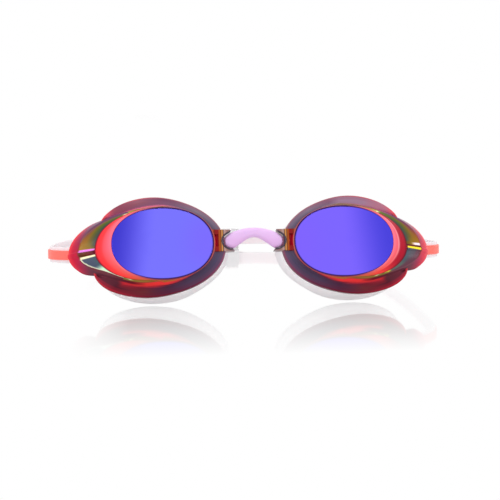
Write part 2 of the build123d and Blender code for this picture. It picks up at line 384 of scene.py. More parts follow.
def make_camera():
    level = math.cos(CAMERA_ELEVATION)
    back = Vector((math.sin(CAMERA_AZIMUTH) * level, -math.cos(CAMERA_AZIMUTH) * level,
                   math.sin(CAMERA_ELEVATION)))
    camera = bpy.data.objects.new("camera", bpy.data.cameras.new("camera"))
    scene.collection.objects.link(camera)
    camera.location = CAMERA_TARGET + back * CAMERA_DISTANCE
    camera.rotation_mode = "QUATERNION"
    camera.rotation_quaternion = (-back).to_track_quat("-Z", "Y")
    camera.data.lens = CAMERA_LENS
    camera.data.clip_start = 0.01
    scene.camera = camera


# ---- lens
LENS_THICKNESS = 1.5
LENS_FACE = (0.25, 0.5, 0.7, 0.85, 0.93, 0.97)  # rings on the flat front, as shares of the rim
# the rounded edge and the back: (how far outside the rim, depth)
LENS_EDGE = [(-0.25, 0), (-0.2, 0.01), (-0.06, 0.13), (0, 0.24), (0, 1.3), (-0.1, 1.45),
             (-0.3, LENS_THICKNESS), (-7, LENS_THICKNESS)]
# the mirror's colours, for the wearer's right (-1) and left (1); the deeper blue towards the temple is a painted
# reflection
LENS_TEMPLE = {-1: (56, 50, 200), 1: (66, 58, 214)}
LENS_MIDDLE = {-1: (115, 110, 250), 1: (119, 95, 248)}
LENS_NOSE = {-1: (122, 96, 248), 1: (124, 92, 250)}
LENS_RIM = (50, 32, 110)
TEMPLE_SHADE_FROM = {-1: 3.5, 1: 0}


def lens_colours(side, t, v):
    """Deep blue towards the temple as a painted reflection, violet towards the nose, and a dark rim but at the
    temple.
    """
    toward = smooth(TEMPLE_SHADE_FROM[side], 21, t + 0.12 * v)[:, None]
    colours = np.array(LENS_MIDDLE[side]) * (1 - toward) + np.array(LENS_TEMPLE[side]) * toward
    nose = (smooth(-5, -17, t) * 0.5 * smooth(16, 2, np.abs(v)))[:, None]
    colours = colours * (1 - nose) + np.array(LENS_NOSE[side]) * nose
    share = np.abs(t / WINDOW_A) ** WINDOW_POWER + np.abs(v / WINDOW_B) ** WINDOW_POWER
    rim = (smooth(0.975, 0.998, share ** (1 / WINDOW_POWER)) * (1 - 0.9 * smooth(6, 18, t)))[:, None]
    return colours * (1 - rim) + np.array(LENS_RIM) * rim


def make_lens(side, name, material):
    """The flat mirrored window: a disc with a rounded edge."""
    rows = [cup_ring(window_radius() * share, 0) for share in LENS_FACE]
    rows += [cup_ring(window_radius(grow), depth) for grow, depth in LENS_EDGE]
    middles = [cup_point(0, 0, 0), cup_point(0, 0, LENS_THICKNESS)]
    vertices = np.concatenate([np.reshape(rows, (-1, 3)), np.reshape(middles, (-1, 3))])
    faces = grid_faces(len(rows), POINTS_ROUND, closed_rows=False)
    front, back = len(vertices) - 2, len(vertices) - 1
    last = (len(rows) - 1) * POINTS_ROUND
    for i in range(POINTS_ROUND):
        following = (i + 1) % POINTS_ROUND
        faces += [(front, following, i), (back, last + i, last + following)]
    made = mesh_object(name, vertices, faces, side)
    set_paint(made, lens_colours(side, (vertices - window) @ across, (vertices - window) @ upward))
    made.data.materials.append(material)
    return made


# ---- eye frame
WALL = 1.6
GLUE_GAP = 0.05  # round the window
SEAT_WIDTH, SEAT_DEPTH = 1.0, 1.6
RIM_WIDTH = 0.55
BRIM_WRAP, WING_WRAP = 7.0, 12.6
BRIM_FRONT, BRIM_BACK = 4.3, 6.8
INNER_DEPTH, RIDGE_DEPTH, BACK_DEPTH = -0.9, 0.63, 5.5  # of the wing's three outlines
INNER_GROW, RIDGE_GROW, BACK_GROW = 0.3, 0.9, 2.0  # how far outside the window they pass the nose
HOLLOW_INSET, HOLLOW_COVER = 1.7, 1.5  # the plastic beside and over the wing's hollow
LEAST_LAND = 0.12  # the least share of the wing's wall that stands above the brim
BAND_MIDDLE, BAND_HEIGHT, BAND_RISE, BAND_SLOPE = -2.3, 1.9, 0.35, 0.12
BAND_START = (24, 26)  # towards the temple

# how far each corner of the section is rounded off, and the rows between it and the next one
ROUNDINGS = [0.1, 0.2, 0.15, 0.18, 0.35, 0.3, 0.5, 0.9, 0.5, 0.3, 0.4, 0.2, 0.1]
ROWS_BETWEEN = [2, 9, 12, 10, 5, 5, 7, 2, 4, 4, 4, 2, 2]


def brim_depth(points):
    """How far points are behind the window's centre, square to the brim."""
    w = math.radians(BRIM_WRAP)
    there = points - window
    return (there @ -forward) * math.cos(w) - (there @ across) * math.sin(w)


def frame_corners():
    """The corners of the eye frame's section: the window's rim, the wing, the brim and the seat."""
    degrees = np.degrees(phi)
    # temple is 1 where the cup has a wing, and outside is 1 where the wing reaches past the brim
    temple = smooth(-4, 9, (degrees + 180) % 360 - 180) * (1 - smooth(171, 184, degrees))
    outside = smooth(60, 72, degrees) * (1 - smooth(105, 117, degrees))
    tower, brim = radius(TOWER), radius(BRIM)
    rim = cup_ring(window_radius(RIM_WIDTH), 0)
    foot = cup_ring(tower, BRIM_FRONT, BRIM_WRAP)
    inner = cup_ring(wing_radius(WING_INNER, INNER_GROW), INNER_DEPTH, WING_WRAP)
    wing_ridge, wing_back = wing_radius(WING_RIDGE, RIDGE_GROW), wing_radius(WING_BACK, BACK_GROW)
    ridge = cup_ring(wing_ridge, RIDGE_DEPTH, WING_WRAP)
    back = cup_ring(wing_back, BACK_DEPTH, WING_WRAP)
    land = (BRIM_FRONT - brim_depth(ridge)) / (brim_depth(back) - brim_depth(ridge))
    land = np.clip(land, LEAST_LAND, 1) * (1 - outside) + outside
    wall_foot = between(ridge, back, land)
    hollow_edge = cup_ring(wing_back - WALL, BACK_DEPTH, WING_WRAP)
    hollow_floor = cup_ring(wing_ridge - HOLLOW_INSET, RIDGE_DEPTH + HOLLOW_COVER, WING_WRAP)
    flat_in = cup_ring(tower + 0.3 * (brim - tower), BRIM_FRONT, BRIM_WRAP)
    flat_out = cup_ring(tower + 0.7 * (brim - tower), BRIM_FRONT, BRIM_WRAP)
    brim_edge = cup_ring(brim, BRIM_FRONT + outside, BRIM_WRAP)
    corners = [
        cup_ring(window_radius(GLUE_GAP), 0),
        rim,
        between(between(rim, foot, 0.3), inner, temple),
        between(between(rim, foot, 0.6), ridge, temple),
        between(foot, wall_foot, temple),
        between(flat_in, hollow_edge, outside),
        between(flat_out, hollow_floor, outside),
        brim_edge,
        cup_ring(brim, BRIM_BACK, BRIM_WRAP),
        cup_ring(tower - WALL, BRIM_BACK, BRIM_WRAP),
        cup_ring(tower - WALL, BRIM_FRONT + 0.6, BRIM_WRAP),
        cup_ring(window_radius(-SEAT_WIDTH), SEAT_DEPTH),
        cup_ring(window_radius(GLUE_GAP), SEAT_DEPTH - GLUE_GAP),
    ]
    # between the wall's foot and the brim's edge the front follows the line between them
    on_brim = (1 - outside) * temple
    for k, share in ((5, 0.35), (6, 0.7)):
        corners[k] = between(corners[k], between(corners[4], brim_edge, share), on_brim)
    return corners


def raise_band(rows, places):
    """Lifts the rows of the wing's face and wall where the raised band crosses them."""
    v = (rows - window) @ upward
    t = (rows - window) @ across
    edge = BAND_HEIGHT / 2
    lift = 1 - smooth(edge - BAND_SLOPE, edge + BAND_SLOPE, np.abs(v - BAND_MIDDLE))
    lift *= smooth(*BAND_START, t) * (smooth(1.9, 2.05, places) * (1 - smooth(4.0, 4.2, places)))[:, None]
    outward = cup_point(math.sin(BAND_TURN) * 0.75, 0, -0.66, WING_WRAP) - cup_point(0, 0, 0)
    return rows + (lift * BAND_RISE)[..., None] * outward


# the paint behind the nose tab's slot, and its place: to the temple and up
BEHIND_SLOT_PAINT, BEHIND_SLOT_T, BEHIND_SLOT_V = (160, 12, 34), (-24.6, -20.2), (-2.6, 4.6)
# lines on the face of the wearer's right wing, as (degrees round the cup, place on the section):
# the lower edge of its bright part, and the upper edge of its olive part
LOWER_LINE = [(97.5, 3.0), (101, 2.93), (105, 2.8), (109, 2.58), (113, 2.35), (118, 2.15), (124, 2.02),
              (130, 2.0)]
UPPER_LINE = [(46, 2.15), (52, 2.3), (58, 2.42), (66, 2.6), (76, 2.78), (86, 3.0)]


def repaint_face(paint, places, line, edge, beyond, fade):
    """Repaints the wing's face outside a line, fading in, and draws the line itself."""
    degrees = np.degrees(phi)
    past = places[:, None] - np.interp(degrees, *np.array(line).T)
    on_face = (places[:, None] > 1.98) & (places[:, None] < 3.06)
    face = (degrees > line[0][0]) & (degrees < line[-1][0]) & on_face
    outside = (smooth(0, fade, past) * face)[..., None]
    paint = paint * (1 - outside) + np.array(beyond) * outside
    on_line = ((1 - smooth(0.015, 0.08, np.abs(past))) * face)[..., None]
    return paint * (1 - on_line) + np.array(edge) * on_line


def make_frame_ring(side, name, material):
    """The window's rim, the wing and the brim in one closed section round the cup."""
    rows, places = rounded(frame_corners(), ROUNDINGS, ROWS_BETWEEN)
    rows = raise_band(rows, places)
    made = mesh_object(name, rows, grid_faces(len(rows), POINTS_ROUND), side)
    paint = painted(cup_colours(side), places, phi)
    if side < 0:
        # the lower line is drawn in cream as a painted highlight
        paint = repaint_face(paint, places, LOWER_LINE, edge=(240, 236, 204), beyond=(106, 50, 60), fade=0.08)
        paint = repaint_face(paint, places, UPPER_LINE, edge=(120, 82, 84), beyond=(100, 62, 88), fade=0.2)
    t, v = (rows - window) @ across, (rows - window) @ upward
    (t0, t1), (v0, v1) = BEHIND_SLOT_T, BEHIND_SLOT_V
    paint[(t > t0) & (t < t1) & (v > v0) & (v < v1) & (places[:, None] > 1.7)] = BEHIND_SLOT_PAINT
    set_paint(made, paint)
    made.data.materials.append(material)
    return made


# the wine colour is painted shade: the dark line in the step at the wing's inner edge
CORAL, BACK_CORAL, WINE_SHADOW = (248, 54, 60), (236, 70, 70), (116, 12, 34)
# the cream colour is painted light: glints and thin highlight lines on the bow and the wing's ridge
GREEN, GOLD, CREAM_GLINT = (84, 100, 34), (166, 124, 40), (252, 244, 196)
# the mint colour is a painted highlight on the bow
INK, STEEL, MINT_HIGHLIGHT = (44, 28, 84), (72, 80, 100), (204, 246, 208)


def cup_colours(side):
    """The paint of one cup. Side -1 is the wearer's right, 1 the left."""
    left = side > 0

    def pick(on_left, on_right):
        return on_left if left else on_right

    inside = pick((240, 110, 128), (246, 106, 126))
    middle = pick((232, 84, 104), (250, 80, 92))
    pale = pick((242, 168, 172), (250, 66, 72))
    outside = pick((168, 16, 40), CORAL)
    shadow = pick((120, 12, 34), (214, 34, 50))
    crescent = pick((1.3, 1.38, 1.46), (1.45, 1.52, 1.62))  # the pale line round the wall's inside
    # upper, upper_turn and top_edge: the brim's lighter top against its dark plum bottom, a painted reflection
    upper = pick((150, 118, 142), (120, 80, 106))
    upper_turn = pick(upper, (140, 84, 96))
    top_edge = pick((146, 98, 116), (104, 62, 86))
    temple = pick((166, 108, 128), (134, 70, 88))
    roof = pick((120, 96, 60), (226, 112, 138))
    below = pick((80, 76, 86), STEEL)
    under_edge = pick((96, 58, 72), STEEL)
    # on the wearer's right, thin_edge is a painted cream highlight along the wing's ridge
    thin_edge = pick((120, 66, 78), CREAM_GLINT)
    # on the wearer's right, patch and low_patch are the painted mint highlight
    patch = pick((88, 98, 92), MINT_HIGHLIGHT)
    low_patch = pick(under_edge, MINT_HIGHLIGHT)
    patch_end = pick((110, 104, 60), (130, 170, 110))
    # spark is a painted glint; line and sheen are the painted highlight lines on the raised band's chamfers
    spark = pick((246, 226, 60), CREAM_GLINT)
    spark_end = pick(spark, (120, 150, 80))
    line = pick((244, 224, 44), CREAM_GLINT)
    sheen = pick((252, 226, 236), (226, 124, 226))
    tip = pick((206, 44, 68), (190, 16, 54))
    foot = pick((236, 92, 94), (240, 84, 80))
    glow = pick((226, 84, 92), (226, 50, 62))
    top, drop = pick((90.0, 93.0), (91.8, 96.6))  # the bright lines above and below the raised band

    by_nose = {0: (130, 96, 36), 160: (166, 100, 44), 185: GOLD, 215: (232, 76, 74), 270: (130, 78, 88),
               330: (216, 112, 120)}

    def band(above, across_it, under, bright=True):
        lit = sheen if bright else above
        return {top - 0.6: above, top - 0.3: lit, top + 1.1: lit, top + 1.4: across_it,
                drop - 0.3: across_it, drop: line, drop + 1.2: line, drop + 1.6: under}

    # {place on the section: {degrees from the top, round by the temple: colour}}; the section's corners
    # are 1 the rim, 2 the wing's inner edge, 3 its ridge, 4 the wall's foot, 7 and 8 the brim's edge,
    # and 9 to 12 the inside. The brim's light mauve top and dark plum bottom are a painted reflection,
    # and the thin light lines at the section's rounded corners are painted highlights
    return {
        0.0: {0: INK, 60: inside, 120: inside, 165: (90, 40, 90), 270: INK},
        0.94: {0: (80, 44, 80), 40: (214, 96, 110), 60: inside, 120: inside, 160: (150, 60, 70),
            185: (90, 36, 50), 230: (120, 56, 70), 270: (150, 70, 60), 320: (110, 60, 90)},
        1.08: {0: (140, 90, 70), 30: (224, 120, 110), 60: inside, 95: inside, 140: (228, 92, 78),
            170: (170, 80, 60), 200: (206, 84, 84), 270: (204, 112, 92), 330: (226, 130, 136)},
        crescent[0]: {0: (176, 120, 70), 30: (224, 112, 94), 60: middle, 95: middle, 130: (240, 76, 70),
            160: (190, 92, 60), 185: (150, 92, 40), 210: (236, 92, 88), 270: (190, 90, 70),
            330: (232, 128, 132)},
        crescent[1]: {0: (160, 112, 60), 30: (230, 130, 110), 60: pale, 95: pale, 130: (240, 76, 70),
            160: (184, 96, 56), 185: (152, 92, 40), 210: (236, 90, 86), 270: (180, 90, 74),
            330: (230, 126, 130)},
        crescent[2]: {0: (150, 110, 50), 30: (200, 90, 66), 60: outside, 110: outside, 136: (244, 66, 62),
            160: (176, 104, 52), 185: GOLD, 215: (234, 84, 80), 270: (150, 84, 84), 330: (220, 118, 124)},
        1.8: {**by_nose, 30: (186, 90, 50), 60: outside, 110: outside, 130: (240, 60, 56)},
        1.92: {**by_nose, 30: (150, 80, 44), 55: shadow, 112: shadow, 130: (236, 56, 52)},
        # painted shade in the step at the wing's inner edge
        1.96: {0: (110, 86, 30), 30: (116, 80, 28), 60: WINE_SHADOW, 98: (84, 6, 24), 120: WINE_SHADOW, 145: (110, 70, 30),
            185: (138, 86, 38), 215: (226, 74, 72), 270: (120, 76, 90), 330: (214, 110, 120)},
        2.06: {0: (96, 92, 24), 30: (140, 124, 30), 47: (200, 180, 90), 50: CREAM_GLINT, 53: (96, 104, 40),
            70: (56, 68, 66), 88: (60, 70, 72), **band((96, 78, 30), (84, 24, 34), (58, 78, 90), not left),
            106: (66, 90, 96), 110: patch, 120: patch, 123: spark, 126: spark_end, 129: (110, 112, 44),
            136: CREAM_GLINT, 139: (150, 110, 50), 165: (140, 92, 40), 185: (226, 80, 66), 220: (210, 74, 76),
            270: (104, 80, 96), 330: (180, 100, 112)},
        2.35: {0: (110, 100, 30), 30: (124, 110, 26), 48: (170, 150, 60), 50: CREAM_GLINT, 53: (92, 102, 36),
            70: (74, 92, 44), 84: (96, 84, 44), **band((130, 100, 24), (100, 30, 30), below, not left),
            106: below, 110: patch, 120: patch, 123: spark, 126: (128, 140, 70), 134: GREEN, 137: CREAM_GLINT,
            141: (150, 110, 50), 165: (140, 92, 40), 185: (234, 70, 64), 220: (200, 66, 74),
            270: (98, 78, 96), 330: (156, 94, 110)},
        2.6: {0: (120, 104, 30), 30: (130, 112, 26), 50: (176, 150, 70), 55: GREEN, 84: (136, 94, 32),
            **band((140, 104, 22), (92, 44, 14), below), 106: under_edge, 111: low_patch, 119: low_patch,
            123: patch_end, 134: (112, 130, 50), 146: (160, 130, 60), 165: (140, 92, 40), 185: (238, 62, 60),
            220: (188, 60, 74), 270: (94, 76, 96), 330: (148, 92, 110)},
        2.72: {0: (140, 108, 50), 30: (122, 104, 26), 50: (112, 92, 50), 57: (112, 78, 90),
            68: (104, 66, 88), 77: (120, 72, 66), 84: (138, 92, 36),
            **band((144, 104, 22), (90, 42, 14), under_edge), 104: under_edge, 111: low_patch,
            119: low_patch, 124: (150, 120, 60), 140: (120, 100, 46), 165: (146, 84, 46), 185: (242, 60, 60),
            220: (176, 60, 74), 270: (92, 76, 96), 330: (144, 92, 110)},
        2.9: {0: (150, 110, 60), 30: (120, 104, 26), 50: (116, 84, 70), 57: (108, 70, 92), 68: (98, 58, 88),
            78: (118, 50, 74), 84: (142, 84, 40), **band((150, 112, 20), (84, 40, 14), under_edge),
            104: under_edge, 112: low_patch, 118: low_patch, 124: (150, 120, 60), 140: (120, 100, 46),
            165: (150, 70, 50), 185: (246, 58, 60), 220: (166, 60, 74), 270: (90, 74, 94),
            330: (140, 90, 110)},
        3.0: {0: roof, 30: roof, 50: (214, 120, 146), 60: (140, 92, 120), 70: (116, 66, 96),
            84: (150, 60, 66), 97: (120, 40, 30), 102: thin_edge, 121: thin_edge, 128: (110, 80, 50),
            150: (160, 60, 50), 165: (226, 56, 56), 185: CORAL, 220: (130, 54, 74), 270: (84, 70, 92),
            330: (130, 88, 108)},
        3.12: {0: roof, 48: roof, 56: (130, 66, 104), 70: (84, 44, 78), 84: (134, 32, 70), 94: tip,
            101: (150, 40, 80), 107: (92, 48, 62), 126: (84, 34, 48), 140: (100, 26, 40), 156: (236, 54, 56),
            185: CORAL, 220: (110, 48, 74), 270: (80, 68, 92), 330: (126, 88, 108)},
        3.55: {0: roof, 30: roof, 48: (180, 84, 112), 58: (112, 64, 102), 70: (116, 60, 100),
            80: (170, 36, 72), 90: tip, 98: tip, 104: (150, 34, 66), 109: (96, 46, 60), 126: (90, 38, 50),
            140: (104, 26, 40), 156: (240, 58, 58), 185: (240, 58, 58), 220: (94, 46, 74), 270: (80, 70, 94),
            330: (124, 88, 108)},
        3.9: {0: roof, 30: (170, 84, 106), 48: (130, 50, 90), 58: (122, 56, 94), 68: (160, 46, 84), 78: glow,
            95: glow, 102: (212, 44, 70), 109: (104, 42, 58), 126: (92, 38, 50), 131: (206, 40, 52),
            148: (240, 58, 58), 163: (214, 50, 58), 185: (112, 40, 58), 220: (80, 44, 70), 270: (84, 76, 98),
            330: (122, 90, 110)},
        4.1: {0: upper, 30: upper, 48: temple, 60: (150, 60, 96), 70: (226, 90, 96), 84: foot, 96: foot,
            103: (206, 50, 70), 110: (112, 42, 58), 128: (84, 34, 48), 132: (176, 34, 48), 150: (110, 24, 44),
            165: (92, 32, 56), 185: (70, 34, 60), 220: (80, 66, 94), 330: (110, 98, 116)},
        5.5: {0: upper, 30: upper_turn, 45: temple, 54: temple, 60: (206, 80, 96), 90: BACK_CORAL,
            103: (200, 36, 56), 110: (104, 40, 56), 126: (88, 34, 48), 130: (72, 22, 38), 142: (96, 30, 42),
            155: (100, 40, 44), 170: (80, 36, 54), 185: (72, 36, 60), 215: (74, 58, 84), 250: (72, 64, 90),
            315: (134, 120, 138), 345: (120, 84, 108)},
        6.6: {0: top_edge, 30: (148, 96, 118), 48: temple, 60: (226, 80, 92), 90: BACK_CORAL,
            116: (196, 36, 60), 130: (160, 26, 44), 150: (110, 26, 42), 185: (88, 28, 52), 250: (96, 64, 90),
            290: (120, 96, 112), 330: (132, 90, 108)},
        6.96: {0: (160, 92, 104), 30: (186, 86, 96), 50: temple, 60: (230, 80, 84), 90: BACK_CORAL,
            130: (150, 28, 46), 160: (108, 20, 40), 185: (96, 20, 42), 215: (92, 34, 60), 250: (120, 62, 90),
            290: (150, 100, 112)},
        7.3: {0: (136, 64, 80), 90: BACK_CORAL, 120: (130, 24, 42), 185: (86, 20, 40), 270: (110, 60, 86)},
        8.0: {0: (150, 66, 80), 90: BACK_CORAL, 185: (110, 28, 46), 270: (120, 62, 84)},
        9.0: {0: (214, 92, 96), 180: (206, 82, 88)},
        12.0: {0: (150, 60, 100)},
    }


# ---- nose tab, ears and post
PIVOT_DEPTH, TAB_THICKNESS = 2.55, 4.1  # the depth of the tab's and the bridge's middle plane
SOCKET = [(9.75, 5.0), (12.6, 3), (13.35, 0.9), (12.7, -1.3), (10.8, -2.6), (8.75, -2.78)]
TAB_TOP, TAB_FOOT = [(18.2, 5.7), (9.6, 5.6)], [(8.2, -3.4), (18.2, -3.75)]
TAB_SLOT = [(14.95, 3.5), (16.45, 3.5), (16.45, -1.5), (14.95, -1.5)]
# the tab's colours by the distance from the nose's middle, up to TAB_FAR
TAB_STOPS = [
    (9.0, (112, 84, 92)), (11.4, (150, 112, 106)), (12.5, (176, 142, 136)), (12.9, (60, 28, 38)),
    (13.3, (206, 140, 64)), (13.6, (170, 120, 80)), (13.9, (90, 36, 14)), (14.3, (168, 80, 18)),
    (14.8, (140, 50, 14)), (15.0, (130, 14, 18)), (16.4, (130, 14, 18)), (16.6, (84, 26, 12)),
    (17.2, (176, 74, 16)), (18.6, (160, 60, 30)),
]
TAB_FAR = 19.0
SOCKET_LIP_PAINT = (34, 12, 40)
EAR_RADIUS, EAR_THICKNESS = 1.9, 1.4
EAR_HEIGHT = 4.45  # from the strap's middle to an ear's middle
EAR_FOOT = [(-2.9, -3), (-2.9, -5.4), (-0.4, -5.4), (EAR_RADIUS, -1.8)]  # from the post's middle
POST_RADIUS, POST_HALF = 0.8, 4.6
EAR_COLOUR = (236, 84, 84)


def plate(name, loops, thickness, bevel, place, side, material):
    """A flat plate with rounded edges from loops of points; place(x, y, z) puts it in the frame."""
    curve = bpy.data.curves.new(name, "CURVE")
    curve.dimensions = "2D"
    curve.fill_mode = "BOTH"
    curve.extrude = thickness / 2 - bevel
    curve.bevel_depth = bevel
    curve.bevel_resolution = 3
    curve.offset = -bevel
    for loop in loops:
        spline = curve.splines.new("POLY")
        spline.points.add(len(loop) - 1)
        for point, (x, y) in zip(spline.points, loop):
            point.co = (x, y, 0, 1)
        spline.use_cyclic_u = True
    flat = bpy.data.objects.new(name + "_outline", curve)
    scene.collection.objects.link(flat)
    bpy.context.view_layer.update()
    mesh = bpy.data.meshes.new_from_object(flat.evaluated_get(bpy.context.evaluated_depsgraph_get()))
    bpy.data.objects.remove(flat)
    shape = bmesh.new()
    shape.from_mesh(mesh)
    bmesh.ops.remove_doubles(shape, verts=shape.verts, dist=0.001)
    local = np.array([v.co for v in shape.verts])
    faces = [[v.index for v in f.verts] for f in shape.faces]
    shape.free()
    bpy.data.meshes.remove(mesh)
    made = mesh_object(name, place(local[:, 0], local[:, 1], local[:, 2]), faces, side)
    return finished(made, material, sharp_from=50)


def curve_through(points, count):
    """Points of a smooth open curve through these."""
    points = np.array(points, float)
    padded = np.vstack([2 * points[0] - points[1], points, 2 * points[-1] - points[-2]])
    out = []
    for i in range(len(points) - 1):
        p0, p1, p2, p3 = padded[i:i + 4]
        for s in np.arange(count) / count:
            out.append(0.5 * (2 * p1 + (p2 - p0) * s + (2 * p0 - 5 * p1 + 4 * p2 - p3) * s * s
                              + (3 * p1 - p0 - 3 * p2 + p3) * s ** 3))
    return out + [points[-1]]


def tab_place(x, y, z):
    return nose_point(x, y, PIVOT_DEPTH - z)


def tab_material():
    """A gloss plastic coloured by the distance from the middle of the nose."""
    material = new_material("amber_tab", 0.16, metallic=0.2, coat=0.08)
    shader_of(material).inputs["Specular IOR Level"].default_value = 0.15
    nodes = material.node_tree.nodes
    coordinates = nodes.new("ShaderNodeTexCoord")
    split = nodes.new("ShaderNodeSeparateXYZ")
    distance = math_node(nodes, "ABSOLUTE")
    low = TAB_STOPS[0][0]
    reach = map_range(nodes, (low * MM, TAB_FAR * MM), (0, 1))
    ramp = nodes.new("ShaderNodeValToRGB")
    connect(material, (coordinates, "Object", split, "Vector"), (split, "X", distance, 0),
            (distance, "Value", reach, "Value"), (reach, "Result", ramp, "Fac"),
            (ramp, "Color", shader_of(material), "Base Color"))
    elements = ramp.color_ramp.elements
    while len(elements) < len(TAB_STOPS):
        elements.new(0.5)
    for element, (at, _) in zip(elements, TAB_STOPS):
        element.position = (at - low) / (TAB_FAR - low)
    for element, (_, colour) in zip(elements, TAB_STOPS):
        element.color = (*linear(colour), 1.0)
    return material


def make_tab(side, name, material):
    outline = TAB_TOP + curve_through(SOCKET, 10) + TAB_FOOT
    return plate(name, [outline, TAB_SLOT], TAB_THICKNESS, 0.3, tab_place, side, material)


def make_socket_lip(side, name, material, thickness=0.75, around=10):
    """The dark edge of the socket that holds the bridge's end: a rod with rounded ends."""
    lip_depth = PIVOT_DEPTH - TAB_THICKNESS / 2 + 0.12
    path = np.array([nose_point(x, y, lip_depth) for x, y in curve_through(SOCKET, 8)])
    along = np.gradient(path, axis=0)
    along /= np.linalg.norm(along, axis=1, keepdims=True)
    first = np.cross(along, forward)
    first /= np.linalg.norm(first, axis=1, keepdims=True)
    second = np.cross(along, first)
    a = np.arange(around) * TURN / around
    count = len(path)
    from_end = np.minimum(np.arange(count), np.arange(count)[::-1])
    ease = np.minimum(1, from_end * 0.4 + 0.25)[:, None, None]
    rows = path[:, None] + thickness / 2 * ease * (
        np.cos(a)[None, :, None] * first[:, None] + np.sin(a)[None, :, None] * second[:, None])
    made = mesh_object(name, rows, tube_faces(count, around), side)
    return finished(made, material, SOCKET_LIP_PAINT)


def make_ears(side, name, material):
    """Two ears on the back of the wing, above and below the strap's eyelet."""
    turns = np.radians(np.arange(0, 181, 12))
    outline = [(post[0] + EAR_RADIUS * math.cos(a), EAR_RADIUS * math.sin(a)) for a in turns]
    outline += [(post[0] + x, y) for x, y in EAR_FOOT]
    made = []
    for z, which in ((EAR_HEIGHT, "upper"), (-EAR_HEIGHT, "lower")):
        def place(x, y, up, z=z):
            return strap_point(x, y, z + up)

        made.append(plate(f"{name}_{which}", [outline], EAR_THICKNESS, 0.25, place, side, material))
    return made


def make_post(side, name, material, around=28):
    a = np.arange(around) * TURN / around
    rows = [strap_point(post[0] + POST_RADIUS * np.cos(a), POST_RADIUS * np.sin(a), z)
            for z in (-POST_HALF, -1.5, 1.5, POST_HALF)]
    made = mesh_object(name, rows, tube_faces(len(rows), around), side)
    return finished(made, material, sharp_from=50)


# ---- face seal
SEAL_INSET, WAIST_INSET = 0.9, 2.2  # from the brim's edge
WAIST_DEPTH, LIP_DEPTH = 9.6, 14.6
WAIST_WRAP, LIP_WRAP = 6.0, 5.0
# the section, as (share of the way from the brim to the lip, how far outside the loft)
SEAL_OUTSIDE = [(0, -0.15)] + [(s, 0) for s in np.linspace(0.03, 0.9, 12)]
SEAL_EDGE = [(0.95, -0.05), (0.98, -0.2), (0.995, -0.42), (1.0, -0.7), (1.0, -0.85), (0.99, -1.1),
             (0.97, -1.32)]
SEAL_INSIDE = [(s, -1.5) for s in np.linspace(0.92, 0.03, 12)] + [(0, -1.35)]
# painted shade along the section, outside and inside: greys, darkest near the lip and darker on the inside
SHADE_PLACES = [0, 0.35, 0.75, 0.92, 1]
OUTSIDE_SHADES, INSIDE_SHADES = [255, 255, 253, 236, 238], [246, 246, 246, 242, 240]


def seal_section(s, grow):
    """The seal's loft through its front edge, waist and lip: s runs from the brim to the lip."""
    brim = radius(BRIM)
    front = cup_ring(brim - SEAL_INSET + grow, BRIM_BACK + 0.02, BRIM_WRAP)
    waist = cup_ring(brim - WAIST_INSET + grow, WAIST_DEPTH, WAIST_WRAP)
    lip = cup_ring(radius(SEAL_LIP) + grow, LIP_DEPTH, LIP_WRAP)
    w = (WAIST_DEPTH - BRIM_BACK) / (LIP_DEPTH - BRIM_BACK)
    return (front * (s - w) * (s - 1) / w + waist * s * (s - 1) / (w * (w - 1)) + lip * s * (s - w) / (1 - w))


def make_seal(side, name, material):
    rows, colours = [], []
    for i, (s, grow) in enumerate(SEAL_OUTSIDE + SEAL_EDGE + SEAL_INSIDE):
        rows.append(seal_section(s, grow))
        inside = i > len(SEAL_OUTSIDE) + 4
        shade = np.interp(s, SHADE_PLACES, INSIDE_SHADES if inside else OUTSIDE_SHADES)
        colours += [(shade, shade - 3, shade - 1)] * POINTS_ROUND
    made = mesh_object(name, rows, grid_faces(len(rows), POINTS_ROUND), side)
    set_paint(made, colours)
    made.data.materials.append(material)
    return made


# ---- nose bridge
BRIDGE_TOP = [(0, 6.25), (3, 6.1), (5.8, 5.6), (8, 4.98), (10, 4.2), (11.4, 3.35), (12.2, 2.6),
              (12.7, 1.75), (12.85, 0.9)]
BRIDGE_FOOT = [(0, 2.3), (1.6, 2.0), (3.4, 1.15), (5, 0.1), (6.5, -0.9), (7.6, -1.7), (8.6, -2.2),
               (9.6, -2.38), (10.6, -2.15), (11.5, -1.6), (12.2, -0.85), (12.65, 0.0), (12.85, 0.9)]
BRIDGE_REACH = BRIDGE_TOP[-1][0]
BRIDGE_HALF_DEPTH, BRIDGE_BOW = 1.65, 1.6
BRIDGE_ROUND_FROM = 11.3  # the ends round off from here
# BRIDGE_LOW and BRIDGE_HIGH paint the bridge lighter towards its top: painted light from above
BRIDGE_LOW, BRIDGE_HIGH = (210, 166, 214), (214, 178, 222)


def squared(values, power=2.7):
    """Sines or cosines changed from a circle's to a squarer superellipse's."""
    return np.sign(values) * np.abs(values) ** (2 / power)


